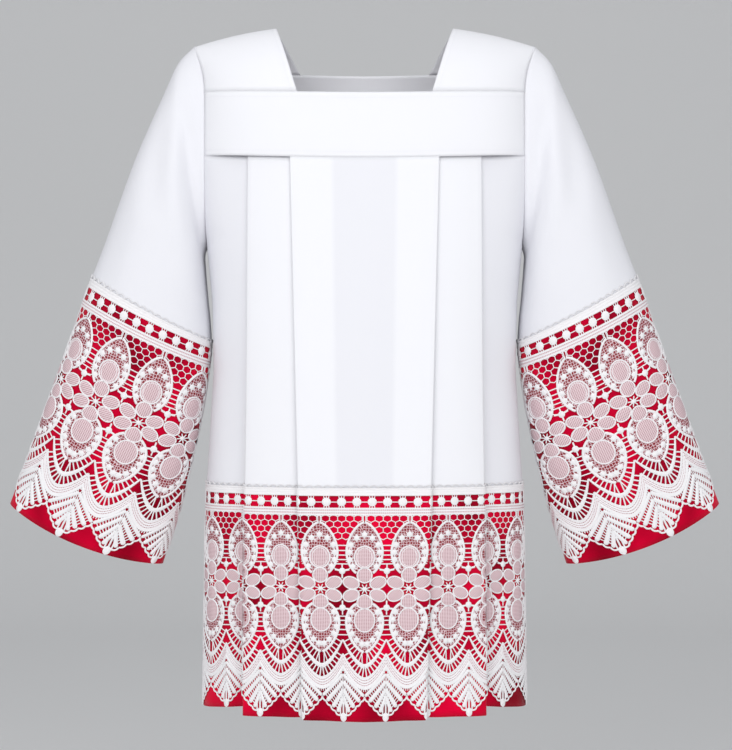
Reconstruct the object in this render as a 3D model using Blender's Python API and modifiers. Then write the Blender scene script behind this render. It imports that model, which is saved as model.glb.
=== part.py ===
"""Surplice with a square neck, a yoke, pleated body, bell sleeves and deep lace bands.

The garment is filled out as when worn, hollow, with open neck, cuffs and hem.
Metres, +Z up, front towards -Y. The origin is midway between the two points
where the neck opening meets the shoulder line, which is where a wearer holds it.
Every piece that a maker cuts is one object: a thin wall of cloth.
"""

import math

import bpy
import bmesh
from mathutils import Vector

COLLECTION_NAME = "surplice"

# Cloth walls and the clearances between pieces
CLOTH_THICKNESS = 0.0012
SATIN_THICKNESS = 0.0010
LACE_THICKNESS = 0.0010
SEAM_GAP = 0.0003
SIDE_SEAM_Y = SEAM_GAP / 2 + CLOTH_THICKNESS / 4
ARMHOLE_SEAM_GAP = SEAM_GAP + CLOTH_THICKNESS / 2
UNDERARM_SEAM_GAP = 0.0024
LACE_CLEARANCE = 0.0004
LACE_OFFSET = SATIN_THICKNESS / 2 + LACE_CLEARANCE + LACE_THICKNESS / 2

# Heights, measured down from the neck points on the shoulder line
FRONT_NECK_Z = -0.1065
BACK_NECK_Z = -0.0540
FRONT_YOKE_HEM_Z = -0.1980
BACK_YOKE_HEM_Z = -0.1460
UNDERARM_Z = -0.3200
LACE_TOP_Z = -0.6580
SATIN_TOP_Z = -0.6700
HEM_Z = -0.9840

# Shoulders, neck opening and armholes
NECK_POINT_X = 0.1290
FRONT_NECK_X = 0.0948
BACK_NECK_X = 0.0970
SHOULDER_END_X = 0.2495
SHOULDER_END_Z = -0.0280
SHOULDER_ROLL = 0.1300
ARMHOLE_X = 0.2293
ARMHOLE_FLARE_Z = -0.1100
ARMHOLE_HALF_DEPTH = 0.0560
ARMHOLE_MID_Z = (SHOULDER_END_Z + UNDERARM_Z) / 2
ARMHOLE_HALF_HEIGHT = (SHOULDER_END_Z - UNDERARM_Z) / 2

# The body's level sections are superellipses of this exponent
BODY_EXPONENT = 2.8
# Columns: height, half width (the armhole sets it above the underarm), front depth, back depth
BODY_SECTIONS = (
    (0.0000, 0.2293, 0.1060, 0.1020),
    (-0.1980, 0.2293, 0.1080, 0.1060),
    (UNDERARM_Z, 0.2293, 0.1160, 0.1120),
    (-0.4000, 0.2215, 0.1210, 0.1170),
    (-0.5000, 0.2195, 0.1270, 0.1220),
    (-0.6000, 0.2255, 0.1330, 0.1270),
    (-0.6700, 0.2300, 0.1370, 0.1310),
    (HEM_Z, 0.2345, 0.1500, 0.1420),
)

# Pleats of a quarter of the skirt, from the centre out. A fold turns the cloth from
# one layer to the next one in; "out" folds show as edges, "in" folds are hidden.
# Columns: x at the yoke, x at the hem, set-back of the two layers it joins at the
# yoke and at the hem, lift of the hem, direction
PLEAT_FOLDS = (
    (0.1050, 0.0850, (0.0000, 0.0020), (0.0000, 0.0060), 0.0020, "out"),
    (0.0450, 0.0350, (0.0020, 0.0044), (0.0060, 0.0130), 0.0050, "in"),
    (0.1665, 0.1790, (0.0044, 0.0064), (0.0130, 0.0210), 0.0015, "out"),
    (0.1050, 0.1330, (0.0064, 0.0088), (0.0210, 0.0300), 0.0120, "in"),
)
FOLD_STEPS = 3
OUTER_PANEL_STEPS = 4

# Sleeve, from the shoulder to the cuff, at its upper edge and its lower edge
# Columns: upper x, upper z, lower x, lower z, half depth, bow of the middle
SLEEVE_SECTIONS = (
    (0.2711, -0.0517, 0.2335, -0.3350, 0.0625, 0.0000),
    (0.2916, -0.0956, 0.2320, -0.3600, 0.0680, 0.0000),
    (0.3340, -0.1920, 0.2280, -0.4020, 0.0730, 0.0000),
    (0.3760, -0.3085, 0.2250, -0.4310, 0.0730, 0.0020),
)
SLEEVE_SATIN_SECTIONS = (
    (0.4028, -0.3790, 0.2245, -0.4690, 0.0710, 0.0040),
    (0.4300, -0.4580, 0.2365, -0.5560, 0.0660, 0.0070),
    (0.4780, -0.5900, 0.2660, -0.6860, 0.0560, 0.0110),
    (0.5170, -0.6926, 0.2945, -0.7807, 0.0460, 0.0150),
)
# Share of the last stretch of white cloth that the lace leaves bare
SLEEVE_LACE_START = 0.84
SLEEVE_EXPONENT = 2.2

# Rows of each wall
YOKE_ROWS = 4
STRAP_COLUMNS = 6
STRAP_ROWS = 6
LOWER_ROWS = (UNDERARM_Z, -0.4000, -0.5000, LACE_TOP_Z, SATIN_TOP_Z)
SKIRT_ROWS_FRONT = (FRONT_YOKE_HEM_Z, -0.2500, -0.2950) + LOWER_ROWS
SKIRT_ROWS_BACK = (BACK_YOKE_HEM_Z, -0.2250, -0.2900) + LOWER_ROWS
SATIN_ROWS = (SATIN_TOP_Z, HEM_Z)
LACE_ROWS = (LACE_TOP_Z, SATIN_TOP_Z, HEM_Z)

FRONT = -1
BACK = 1
LEFT = 1
RIGHT = -1


# ---------------------------------------------------------------- scene helpers

def clear_scene():
    for obj in list(bpy.data.objects):
        bpy.data.objects.remove(obj, do_unlink=True)


def make_collection(name):
    collection = bpy.data.collections.new(name)
    bpy.context.scene.collection.children.link(collection)
    return collection


def cloth_material(name, color, roughness):
    material = bpy.data.materials.new(name)
    material.use_nodes = True
    shader = material.node_tree.nodes["Principled BSDF"]
    shader.inputs["Base Color"].default_value = (*color, 1.0)
    shader.inputs["Roughness"].default_value = roughness
    shader.inputs["Metallic"].default_value = 0.0
    return material


def add_wall(name, rows, thickness, material, collection, closed=False, mirrored=False):
    """Make a cloth wall: an open loft through rows of points, thickened both ways."""
    mesh = bpy.data.meshes.new(name)
    shape = bmesh.new()
    grid = [[shape.verts.new(point) for point in row] for row in rows]
    columns = len(rows[0])
    spans = columns if closed else columns - 1
    for upper, lower in zip(grid, grid[1:]):
        for i in range(spans):
            j = (i + 1) % columns
            shape.faces.new((upper[i], lower[i], lower[j], upper[j]))
    shape.to_mesh(mesh)
    shape.free()
    obj = bpy.data.objects.new(name, mesh)
    collection.objects.link(obj)
    mesh.materials.append(material)
    if mirrored:
        mirror = obj.modifiers.new("Mirror", "MIRROR")
        mirror.use_axis = (True, False, False)
        mirror.merge_threshold = 0.0001
    solidify = obj.modifiers.new("Solidify", "SOLIDIFY")
    solidify.thickness = thickness
    solidify.offset = 0.0
    solidify.use_even_offset = True
    solidify.use_rim = True
    return obj


# ---------------------------------------------------------------- the body's surface

def between(value, start, end):
    return (value - start) / (end - start)


def mix(start, end, amount):
    return start + (end - start) * amount


def table_value(z, column):
    """Read one column of BODY_SECTIONS at a height."""
    z = min(max(z, HEM_Z), 0.0)
    for upper, lower in zip(BODY_SECTIONS, BODY_SECTIONS[1:]):
        if z >= lower[0]:
            return mix(upper[column], lower[column], between(z, upper[0], lower[0]))
    return BODY_SECTIONS[-1][column]


def depth_at(z, side):
    return table_value(z, 2 if side == FRONT else 3)


def shoulder_z(x):
    """Height of the shoulder line."""
    return SHOULDER_END_Z * between(abs(x), NECK_POINT_X, SHOULDER_END_X)


def shoulder_roll(x, z):
    """Share of the full depth that the cloth has reached below the shoulder line."""
    drop = max(shoulder_z(x) - z, 0.0)
    if drop >= SHOULDER_ROLL:
        return 1.0
    return math.sqrt(1.0 - (1.0 - drop / SHOULDER_ROLL) ** 2)


def armhole_x(z):
    flare = max(between(z, ARMHOLE_FLARE_Z, SHOULDER_END_Z), 0.0)
    return mix(ARMHOLE_X, SHOULDER_END_X, flare * flare)


def armhole_half_depth(z):
    if z >= ARMHOLE_MID_Z:
        return ARMHOLE_HALF_DEPTH
    fall = min((ARMHOLE_MID_Z - z) / ARMHOLE_HALF_HEIGHT, 1.0)
    return ARMHOLE_HALF_DEPTH * math.sqrt(1.0 - fall * fall)


def half_width(z, side):
    """Half width of the level section, set by the armhole above the underarm."""
    if z <= UNDERARM_Z:
        return table_value(z, 1)
    reach = armhole_half_depth(z) / depth_at(z, side)
    return armhole_x(z) / (1.0 - reach ** BODY_EXPONENT) ** (1.0 / BODY_EXPONENT)


def body_depth(x, z, side):
    """Distance of the body's surface from the mid plane."""
    share = min(abs(x) / half_width(z, side), 1.0)
    bulge = (1.0 - share ** BODY_EXPONENT) ** (1.0 / BODY_EXPONENT)
    return depth_at(z, side) * bulge * shoulder_roll(x, z)


def body_point(x, z, side):
    return Vector((x, side * body_depth(x, z, side), z))


# ---------------------------------------------------------------- yoke and shoulders

def yoke_levels(side):
    top = FRONT_NECK_Z if side == FRONT else BACK_NECK_Z
    bottom = FRONT_YOKE_HEM_Z if side == FRONT else BACK_YOKE_HEM_Z
    return [mix(top, bottom, i / (YOKE_ROWS - 1)) for i in range(YOKE_ROWS)]


def yoke_rows(side):
    """Half of a yoke band, whose columns run on from the shoulder piece's."""
    neck_x = FRONT_NECK_X if side == FRONT else BACK_NECK_X
    rows = []
    for z in yoke_levels(side):
        columns = [0.0, neck_x / 2.0]
        for i in range(STRAP_COLUMNS + 1):
            columns.append(mix(neck_x, armhole_x(z), i / STRAP_COLUMNS))
        rows.append([body_point(x, z, side) for x in columns])
    return rows


def roll_angle(x, seam_z):
    """Angle round the shoulder roll at which the cloth reaches the yoke seam."""
    return math.acos(1.0 - (shoulder_z(x) - seam_z) / SHOULDER_ROLL)


def roll_z(x, seam_z, share):
    turn = share * roll_angle(x, seam_z)
    return shoulder_z(x) - SHOULDER_ROLL * (1.0 - math.cos(turn))


def strap_edge_x(seam_z, share):
    """Where a row of the shoulder piece meets the armhole."""
    edge_x = SHOULDER_END_X
    for _ in range(8):
        edge_x = armhole_x(roll_z(edge_x, seam_z, share))
    return edge_x


def strap_seam(side):
    """Height and inner end of the seam between a shoulder piece and a yoke."""
    if side == FRONT:
        return FRONT_NECK_Z + SEAM_GAP, FRONT_NECK_X
    return BACK_NECK_Z + SEAM_GAP, BACK_NECK_X


def strap_row(side, share):
    """One row across a shoulder piece, at a share of the way down to its yoke seam."""
    seam_z, seam_x = strap_seam(side)
    neck_z = roll_z(NECK_POINT_X, seam_z, share)
    neck_x = mix(NECK_POINT_X, seam_x, neck_z / seam_z)
    edge_x = strap_edge_x(seam_z, share)
    row = []
    for i in range(STRAP_COLUMNS + 1):
        x = mix(neck_x, edge_x, i / STRAP_COLUMNS)
        row.append(body_point(x, roll_z(x, seam_z, share), side))
    return row


def strap_rows(hand):
    """A shoulder piece, from the front yoke seam over the shoulder to the back one."""
    front = [strap_row(FRONT, 1.0 - i / STRAP_ROWS) for i in range(STRAP_ROWS)]
    back = [strap_row(BACK, i / STRAP_ROWS) for i in range(STRAP_ROWS + 1)]
    rows = front + back
    for row in rows:
        for point in row:
            point.x *= hand
    return rows


# ---------------------------------------------------------------- pleated skirt

def skirt_spread(z, side):
    """0 at the yoke seam, 1 at the hem: how far the pleats have opened."""
    top = FRONT_YOKE_HEM_Z if side == FRONT else BACK_YOKE_HEM_Z
    return between(z, top, HEM_Z)


def surface_normal(x, z, side):
    """Level direction out of the body's surface."""
    width = half_width(z, side)
    depth = depth_at(z, side)
    share = min(abs(x) / width, 1.0)
    bulge = (1.0 - share ** BODY_EXPONENT) ** (1.0 / BODY_EXPONENT)
    power = BODY_EXPONENT - 1.0
    normal = Vector((share ** power / width, side * bulge ** power / depth))
    return normal.normalized()


def set_back_point(x, z, set_back, side):
    """A point of the skirt behind the body's surface, in a level plane."""
    normal = surface_normal(x, z, side)
    return Vector((x, side * body_depth(x, z, side))) - normal * set_back


def fold_points(z, side, x, layers, direction):
    """Points round one fold, whose edge lies at x."""
    radius = (layers[1] - layers[0]) / 2.0
    reach = 1.0 if direction == "out" else -1.0
    points = []
    for i in range(FOLD_STEPS + 1):
        angle = math.pi * i / FOLD_STEPS
        along = x + reach * radius * (math.sin(angle) - 1.0)
        set_back = layers[0] + radius * (1.0 - math.cos(angle))
        points.append(set_back_point(along, z, set_back, side))
    return points


def skirt_end(z, side):
    """Angle of the section at the armhole, or at the side seam below it."""
    if z <= UNDERARM_Z:
        return math.pi / 2.0
    share = armhole_x(z) / half_width(z, side)
    return math.asin(share ** (BODY_EXPONENT / 2.0))


def outer_panel_points(covered_x, z, set_back, side):
    """From under the last pleat to the side seam, easing out to the surface."""
    width = half_width(z, side)
    start = math.asin((covered_x / width) ** (BODY_EXPONENT / 2.0))
    end = skirt_end(z, side)
    points = []
    for i in range(OUTER_PANEL_STEPS + 1):
        share = i / OUTER_PANEL_STEPS
        along = width * math.sin(mix(start, end, share)) ** (2.0 / BODY_EXPONENT)
        ease = (1.0 + math.cos(math.pi * share)) / 2.0
        points.append(set_back_point(along, z, set_back * ease, side))
    if z <= UNDERARM_Z:
        points[-1].y = side * SIDE_SEAM_Y
    return points


def skirt_line(z, side):
    """Mid line of the pleated cloth at one level, from the centre to the side."""
    spread = skirt_spread(z, side)
    folds = []
    for x_yoke, x_hem, layers_yoke, layers_hem, _, direction in PLEAT_FOLDS:
        layers = [mix(a, b, spread) for a, b in zip(layers_yoke, layers_hem)]
        folds.append((mix(x_yoke, x_hem, spread), layers, direction))
    first_out, first_in, second_out, second_in = folds
    line = [set_back_point(0.0, z, 0.0, side), set_back_point(first_in[0], z, 0.0, side)]
    line.extend(fold_points(z, side, *first_out))
    line.extend(fold_points(z, side, *first_in))
    line.append(set_back_point(second_in[0], z, first_in[1][1], side))
    line.extend(fold_points(z, side, *second_out))
    line.extend(fold_points(z, side, *second_in))
    line.extend(outer_panel_points(second_out[0], z, second_in[1][1], side))
    return line


def moved_out(line, distance, side):
    """The line moved out of the body by a distance, with mitred corners."""
    if distance == 0.0:
        return line
    mirrored_second = Vector((-line[1].x, line[1].y))
    points = [mirrored_second] + line
    moved = []
    for i in range(1, len(points)):
        before = (points[i] - points[i - 1]).normalized()
        if i + 1 < len(points):
            after = (points[i + 1] - points[i]).normalized()
        else:
            after = Vector((0.0, -side))
        sum_direction = (before + after).normalized()
        normal = Vector((-sum_direction.y * side, sum_direction.x * side))
        turn = before.dot(after)
        stretch = 1.0 / math.sqrt((1.0 + turn) / 2.0)
        moved.append(points[i] + normal * distance * min(stretch, 2.0))
    if abs(line[-1].y) <= SIDE_SEAM_Y:
        moved[-1].y = side * SIDE_SEAM_Y
    return moved


def hem_lifts():
    """How far each point of the skirt line is lifted at the hem."""
    first_out, first_in, second_out, second_in = [fold[4] for fold in PLEAT_FOLDS]
    turns = FOLD_STEPS + 1
    lifts = [0.0, 0.0] + [first_out] * turns + [first_in] * turns
    lifts.append(mix(first_in, second_out, 0.5))
    lifts.extend([second_out] * turns + [second_in] * turns)
    lifts.extend(second_in * (1.0 - i / OUTER_PANEL_STEPS) for i in range(OUTER_PANEL_STEPS + 1))
    return lifts


def skirt_rows(levels, side, distance, top_gap):
    """Half of a pleated wall between the given levels."""
    rows = []
    for i, level in enumerate(levels):
        z = level - top_gap if i == 0 else level
        low = max(between(z, SATIN_TOP_Z, HEM_Z), 0.0)
        line = moved_out(skirt_line(z, side), distance, side)
        rows.append([Vector((p.x, p.y, z + low * up)) for p, up in zip(line, hem_lifts())])
    return rows


# ---------------------------------------------------------------- sleeves

def armhole_levels(side):
    """Heights at which the body's rows end on the armhole, from the top down."""
    seam_z, _ = strap_seam(side)
    levels = []
    for i in range(1, STRAP_ROWS + 1):
        share = i / STRAP_ROWS
        levels.append(roll_z(strap_edge_x(seam_z, share), seam_z, share))
    levels.extend(yoke_levels(side)[1:])
    skirt_levels = SKIRT_ROWS_FRONT if side == FRONT else SKIRT_ROWS_BACK
    levels.extend(z for z in skirt_levels[1:] if z > UNDERARM_Z)
    return levels


def ring_angles():
    """Angles of the sleeve's columns, from the shoulder round the front."""
    def angle(z):
        return math.acos((z - ARMHOLE_MID_Z) / ARMHOLE_HALF_HEIGHT)

    front = [angle(z) for z in armhole_levels(FRONT)]
    back = [2.0 * math.pi - angle(z) for z in reversed(armhole_levels(BACK))]
    return [0.0] + front + [math.pi] + back


def armhole_ring(angles):
    """The armhole seam, from the shoulder round the front to the underarm and back."""
    ring = []
    for angle in angles:
        z = ARMHOLE_MID_Z + ARMHOLE_HALF_HEIGHT * math.cos(angle)
        x = armhole_x(z)
        side = FRONT if angle < math.pi else BACK
        depth = armhole_half_depth(z) * shoulder_roll(x, z)
        low = ((1.0 - math.cos(angle)) / 2.0) ** 4
        gap = mix(ARMHOLE_SEAM_GAP, UNDERARM_SEAM_GAP, low)
        ring.append(Vector((x + gap, side * depth, z)))
    return ring


def sleeve_ring(section, distance, angles):
    """A slanted ring of the sleeve, moved out by a distance."""
    upper_x, upper_z, lower_x, lower_z, half_depth, bow = section
    upper = Vector((upper_x, 0.0, upper_z))
    lower = Vector((lower_x, 0.0, lower_z))
    centre = (upper + lower) / 2.0
    across = (upper - lower) / 2.0
    reach = across.length + distance
    across.normalize()
    down = Vector((across.z, 0.0, -across.x))
    power = 2.0 / SLEEVE_EXPONENT
    ring = []
    for angle in angles:
        along = math.copysign(abs(math.cos(angle)) ** power, math.cos(angle))
        out = math.copysign(abs(math.sin(angle)) ** power, math.sin(angle))
        point = centre + across * reach * along + down * bow * (1.0 - along * along)
        point.y = FRONT * (half_depth + distance) * out
        ring.append(point)
    return ring


def handed(rings, hand):
    """Mirror rings for the right sleeve, keeping their faces outward."""
    result = []
    for ring in rings:
        points = [Vector((hand * p.x, p.y, p.z)) for p in ring]
        result.append(points if hand == RIGHT else points[::-1])
    return result


def section_between(amount):
    """A section between the last white one and the first satin one."""
    last, first = SLEEVE_SECTIONS[-1], SLEEVE_SATIN_SECTIONS[0]
    return tuple(mix(a, b, amount) for a, b in zip(last, first))


def sleeve_cloth_rings(angles):
    rings = [armhole_ring(angles)]
    rings.extend(sleeve_ring(section, 0.0, angles) for section in SLEEVE_SECTIONS)
    rings.append(sleeve_ring(section_between(SLEEVE_LACE_START), 0.0, angles))
    stretch = SLEEVE_SECTIONS[-1][3] - SLEEVE_SATIN_SECTIONS[0][3]
    rings.append(sleeve_ring(section_between(1.0 - SEAM_GAP / stretch), 0.0, angles))
    return rings


def sleeve_satin_rings(angles):
    return [sleeve_ring(section, 0.0, angles) for section in SLEEVE_SATIN_SECTIONS]


def sleeve_lace_rings(angles):
    sections = (section_between(SLEEVE_LACE_START),) + SLEEVE_SATIN_SECTIONS
    return [sleeve_ring(section, LACE_OFFSET, angles) for section in sections]


# ---------------------------------------------------------------- the garment

def build_yoke(materials, collection):
    for side, name in ((FRONT, "yoke_front"), (BACK, "yoke_back")):
        rows = yoke_rows(side)
        if side == BACK:
            rows = rows[::-1]
        add_wall(name, rows, CLOTH_THICKNESS, materials["cloth"], collection, mirrored=True)
    for hand, name in ((LEFT, "shoulder_left"), (RIGHT, "shoulder_right")):
        rows = strap_rows(hand)
        if hand == LEFT:
            rows = rows[::-1]
        add_wall(name, rows, CLOTH_THICKNESS, materials["cloth"], collection)


def build_skirt(materials, collection):
    for side, word in ((FRONT, "front"), (BACK, "back")):
        levels = SKIRT_ROWS_FRONT if side == FRONT else SKIRT_ROWS_BACK
        walls = (
            ("skirt_" + word, levels, 0.0, CLOTH_THICKNESS, materials["cloth"]),
            ("hem_satin_" + word, SATIN_ROWS, 0.0, SATIN_THICKNESS, materials["satin"]),
            ("hem_lace_" + word, LACE_ROWS, LACE_OFFSET, LACE_THICKNESS, materials["lace"]),
        )
        for name, rows_at, distance, thickness, material in walls:
            rows = skirt_rows(rows_at, side, distance, SEAM_GAP)
            if side == BACK:
                rows = rows[::-1]
            add_wall(name, rows, thickness, material, collection, mirrored=True)


def build_sleeves(materials, collection):
    angles = ring_angles()
    for hand, word in ((LEFT, "left"), (RIGHT, "right")):
        walls = (
            ("sleeve_", sleeve_cloth_rings(angles), CLOTH_THICKNESS, "cloth"),
            ("sleeve_satin_", sleeve_satin_rings(angles), SATIN_THICKNESS, "satin"),
            ("sleeve_lace_", sleeve_lace_rings(angles), LACE_THICKNESS, "lace"),
        )
        for stem, rings, thickness, slot in walls:
            rows = handed(rings, hand)
            add_wall(stem + word, rows, thickness, materials[slot], collection, closed=True)


def main():
    clear_scene()
    collection = make_collection(COLLECTION_NAME)
    materials = {
        "cloth": cloth_material("white_cloth", (0.86, 0.86, 0.90), 0.80),
        "satin": cloth_material("red_satin", (0.55, 0.004, 0.030), 0.35),
        "lace": cloth_material("white_lace", (0.90, 0.88, 0.88), 0.75),
    }
    build_yoke(materials, collection)
    build_skirt(materials, collection)
    build_sleeves(materials, collection)


main()
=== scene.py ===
import math

import bpy
import numpy as np
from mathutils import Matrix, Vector


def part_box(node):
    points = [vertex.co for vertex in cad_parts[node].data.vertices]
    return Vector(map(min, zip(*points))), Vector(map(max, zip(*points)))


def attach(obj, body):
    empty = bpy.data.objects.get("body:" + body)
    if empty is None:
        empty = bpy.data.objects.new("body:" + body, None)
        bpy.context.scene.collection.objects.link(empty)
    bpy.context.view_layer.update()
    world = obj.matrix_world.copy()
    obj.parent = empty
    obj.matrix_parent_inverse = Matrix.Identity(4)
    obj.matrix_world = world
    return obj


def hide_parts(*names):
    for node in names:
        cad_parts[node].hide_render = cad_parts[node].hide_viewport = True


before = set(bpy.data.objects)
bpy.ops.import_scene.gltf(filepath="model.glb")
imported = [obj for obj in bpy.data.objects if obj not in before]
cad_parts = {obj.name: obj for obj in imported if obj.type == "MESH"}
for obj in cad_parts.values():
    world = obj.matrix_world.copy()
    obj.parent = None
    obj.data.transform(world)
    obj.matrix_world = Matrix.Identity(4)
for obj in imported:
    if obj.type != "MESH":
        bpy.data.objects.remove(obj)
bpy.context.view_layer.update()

# Looks of the surplice: woven cloth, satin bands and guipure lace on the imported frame, in
# metres unless a comment says millimetres. Its front faces -y.

# ---- sizes from the frame

FRONT, BACK = -1, 1
SATIN_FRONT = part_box("hem_satin_front")
NECK_Z = {FRONT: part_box("yoke_front")[1][2], BACK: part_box("yoke_back")[1][2]}
YOKE_HEM_Z = {FRONT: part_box("yoke_front")[0][2], BACK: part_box("yoke_back")[0][2]}
SATIN_TOP_Z = SATIN_FRONT[1][2]
LACE_TOP_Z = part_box("hem_lace_front")[1][2]
HEM_Z = SATIN_FRONT[0][2]
LACE_DROP = LACE_TOP_Z - HEM_Z

# ---- shape of the garment

UNDERARM_Z = -0.32
NECK_POINT_X = 0.129
NECK_X = {FRONT: 0.0948, BACK: 0.097}
SHOULDER_END_X = 0.2495
SHOULDER_END_Z = -0.028
SHOULDER_ROLL = 0.13
ARMHOLE_X = 0.2293
ARMHOLE_FLARE_Z = -0.11
ARMHOLE_HALF_DEPTH = 0.056
ARMHOLE_MID_Z = (SHOULDER_END_Z + UNDERARM_Z) / 2
ARMHOLE_HALF_HEIGHT = (SHOULDER_END_Z - UNDERARM_Z) / 2
BODY_EXPONENT = 2.8
# How far the body's edge runs under the sleeve at the armhole seam
SEAM_TUCK = 0.0006
# The front yoke hangs low at its middle, is held up at its ends, and eases off between
# these two pairs of depths below the shoulder
YOKE_SAG = 0.003
YOKE_LIFT = 0.008
HANG_ABOVE = (0.04, 0.085)
HANG_BELOW = (0.215, 0.3)
# How far the shoulder line bows up, and how far its neck end sinks
SHOULDER_CROWN = 0.0028
NECK_DROP = 0.002
# Thickness of the doubled yoke, of single cloth and of satin
YOKE_CLOTH = 0.001
SINGLE_CLOTH = 0.0006
SATIN_CLOTH = 0.0005

# Columns: height, half width (the armhole sets it above the underarm), front depth, back depth
BODY_SECTIONS = np.array((
    (0.0, 0.2293, 0.106, 0.102),
    (-0.198, 0.2293, 0.108, 0.106),
    (UNDERARM_Z, 0.2293, 0.116, 0.112),
    (-0.4, 0.2215, 0.121, 0.117),
    (-0.5, 0.2195, 0.127, 0.122),
    (-0.6, 0.2255, 0.133, 0.127),
    (-0.67, 0.23, 0.137, 0.131),
    (-0.984, 0.2345, 0.15, 0.142),
))

# Pleats of a quarter of the skirt, from the centre out. Columns: x at the yoke, x at the hem,
# set-back of the two layers at the yoke and at the hem, lift of the hem, and 1 for a fold
# that shows as an edge or -1 for one that lies behind
PLEAT_FOLDS = (
    (0.105, 0.085, (0.0, 0.002), (0.0, 0.006), 0.002, 1),
    (0.045, 0.035, (0.002, 0.0044), (0.006, 0.013), 0.005, -1),
    (0.1665, 0.179, (0.0044, 0.0064), (0.013, 0.021), 0.0015, 1),
    (0.105, 0.133, (0.0064, 0.0088), (0.021, 0.03), 0.012, -1),
)
FOLD_STEPS = 8
# Rough widths of the panels between the folds, and of one column of a panel
PANEL_WIDTHS = (0.09, 0.058, 0.13, 0.057, 0.057)
PANEL_STEP = 0.006
SIDE_STEPS = 18

# Rings of a sleeve below the armhole: upper x, upper z, lower x, lower z, half depth, bow
SLEEVE_SECTIONS = (
    (0.2711, -0.0517, 0.2335, -0.335, 0.0625, 0.0),
    (0.2916, -0.0956, 0.232, -0.36, 0.068, 0.0),
    (0.334, -0.192, 0.228, -0.402, 0.073, 0.0),
    (0.376, -0.3085, 0.225, -0.431, 0.073, 0.002),
    (0.4028, -0.379, 0.2245, -0.469, 0.071, 0.004),
    (0.43, -0.458, 0.2365, -0.556, 0.066, 0.007),
    (0.478, -0.59, 0.266, -0.686, 0.056, 0.011),
    (0.517, -0.6926, 0.2945, -0.7807, 0.046, 0.015),
)
# Ring numbers where the cloth, satin and lace start: 0 is the armhole, the last the cuff
SLEEVE_TUCK_ROW = -0.06
SLEEVE_SATIN_ROW = 4.88
SLEEVE_LACE_ROW = 4.71
SLEEVE_LAST_ROW = 8.0
SLEEVE_EXPONENT = 2.2
SLEEVE_POINTS = 128

# Lace: one repeat in millimetres, and how many go round
PITCH = 61.4
HALF = PITCH / 2
DROP = 326.0
LACE_STAND_OFF = 0.0009
QUARTER_REPEATS = 9
# Repeats of lace eased in behind the two pleats of a quarter
PLEAT_EASE = (0.2, 0.27)
# A sleeve's lace: repeats round it, shift of the first, and slant from the top to the cuff
SLEEVE_REPEATS = 8
SLEEVE_PHASE = 0.05
SLEEVE_LEAN = 0.71

# Kinds of lace face, in the order of the lace's materials
THREAD, NET, HATCH, OPEN, PICOT = range(5)


def mix(start, end, amount):
    return start + (end - start) * amount


def clamp(value):
    return np.clip(value, 0.0, 1.0)


def shares(count):
    """Even shares from 0 to 1."""
    return np.linspace(0.0, 1.0, count)


def smooth(value, start, end):
    """0 to 1 ramp with soft ends."""
    t = clamp((value - start) / (end - start))
    return t * t * (3.0 - 2.0 * t)


def section_value(z, column):
    return np.interp(z, BODY_SECTIONS[::-1, 0], BODY_SECTIONS[::-1, column])


def unit(vectors):
    return vectors / np.maximum(np.linalg.norm(vectors, axis=-1, keepdims=True), 1e-9)


def path_lengths(path):
    """Distance along a path to each of its points."""
    steps = np.linalg.norm(np.diff(path, axis=0), axis=1)
    return np.concatenate(((0.0,), np.cumsum(steps)))


# ---- body surface

def shoulder_z(x):
    return SHOULDER_END_Z * (np.abs(x) - NECK_POINT_X) / (SHOULDER_END_X - NECK_POINT_X)


def shoulder_roll(x, z):
    drop = clamp((shoulder_z(x) - z) / SHOULDER_ROLL)
    return np.sqrt(1.0 - (1.0 - drop) ** 2)


def armhole_x(z):
    flare = np.clip((z - ARMHOLE_FLARE_Z) / (SHOULDER_END_Z - ARMHOLE_FLARE_Z), 0.0, 1.2)
    return mix(ARMHOLE_X, SHOULDER_END_X, flare * flare)


def armhole_half_depth(z):
    fall = clamp((ARMHOLE_MID_Z - z) / ARMHOLE_HALF_HEIGHT)
    return ARMHOLE_HALF_DEPTH * np.sqrt(1.0 - fall * fall)


def body_size(z, side):
    """Half width and depth of the level section at a height."""
    depth = section_value(z, 2 if side == FRONT else 3)
    reach = np.clip(armhole_half_depth(z) / depth, 0.0, 0.999)
    above = armhole_x(z) / (1.0 - reach ** BODY_EXPONENT) ** (1.0 / BODY_EXPONENT)
    return np.where(z > UNDERARM_Z, above, section_value(z, 1)), depth


def body_points(x, z, side, set_back=0.0):
    """Points on the body's surface, or set back behind it, as an array of (x, y, z)."""
    width, depth = body_size(z, side)
    share = clamp(np.abs(x) / width)
    bulge = (1.0 - share ** BODY_EXPONENT) ** (1.0 / BODY_EXPONENT)
    power = BODY_EXPONENT - 1.0
    across = share ** power / width * np.sign(x)
    out = bulge ** power / depth
    length = np.hypot(across, out)
    reach = depth * bulge * shoulder_roll(x, z)
    px = x - set_back * across / length
    py = side * (reach - set_back * out / length)
    return np.stack(np.broadcast_arrays(px, py, z), axis=-1)


# ---- mesh helpers

def grid_mesh(name, points, uv, outward=None):
    """A quad mesh over a grid of points, rows first, with flat coordinates as its UV map."""
    rows, columns = points.shape[:2]
    index = np.arange(rows * columns).reshape(rows, columns)
    corners = (index[:-1, :-1], index[1:, :-1], index[1:, 1:], index[:-1, 1:])
    quads = np.stack(corners, axis=-1).reshape(-1, 4)
    vertices = points.reshape(-1, 3)
    if outward is not None:
        a, b, d = (vertices[quads[:, k]] for k in (0, 1, 3))
        if np.sum(np.cross(b - a, d - a) * outward(a)) < 0.0:
            quads = quads[:, ::-1]
    return make_mesh(name, vertices, quads, uv)


def add_object(name, data, location=(0.0, 0.0, 0.0)):
    obj = bpy.data.objects.new(name, data)
    obj.location = location
    bpy.context.scene.collection.objects.link(obj)
    return obj


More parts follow.
